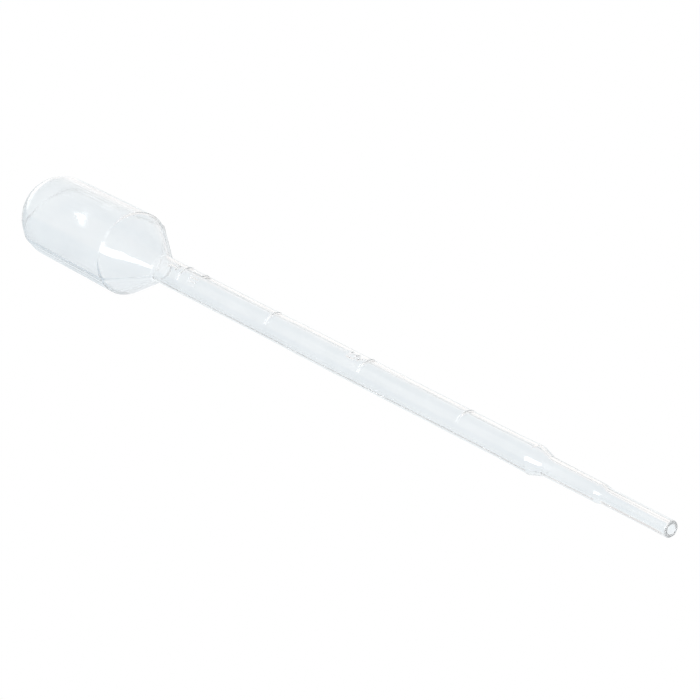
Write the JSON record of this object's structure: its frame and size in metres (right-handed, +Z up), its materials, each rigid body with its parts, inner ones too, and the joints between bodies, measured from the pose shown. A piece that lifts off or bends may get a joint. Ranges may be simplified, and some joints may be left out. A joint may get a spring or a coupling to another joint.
{
  "type": "plastic transfer pipette",
  "caption": "One-piece hollow polyethylene dropper pipette: domed squeeze bulb, graduated stem, narrow neck and open dropper tip, lying on its side.",
  "frame": {"origin": "centre of the base of the bounding box, on the surface that the pipette lies on", "axes": "+X along the pipette, towards the tip; +Y level, across it; +Z up. The pipette's own axis dips 2.6 degrees below +X, because it rests on the bulb's shoulder and the rim of the mouth. It lies turned about that axis, so that the middle of its graduated half is 27.5 degrees from the top, towards -Y"},
  "size_m": [0.15, 0.014, 0.0147],
  "materials": {
    "polyethylene": "clear natural polyethylene, faintly milky, satin gloss"
  },
  "bodies": {
    "root": {"pipette": "polyethylene"}
  },
  "joints": []
}
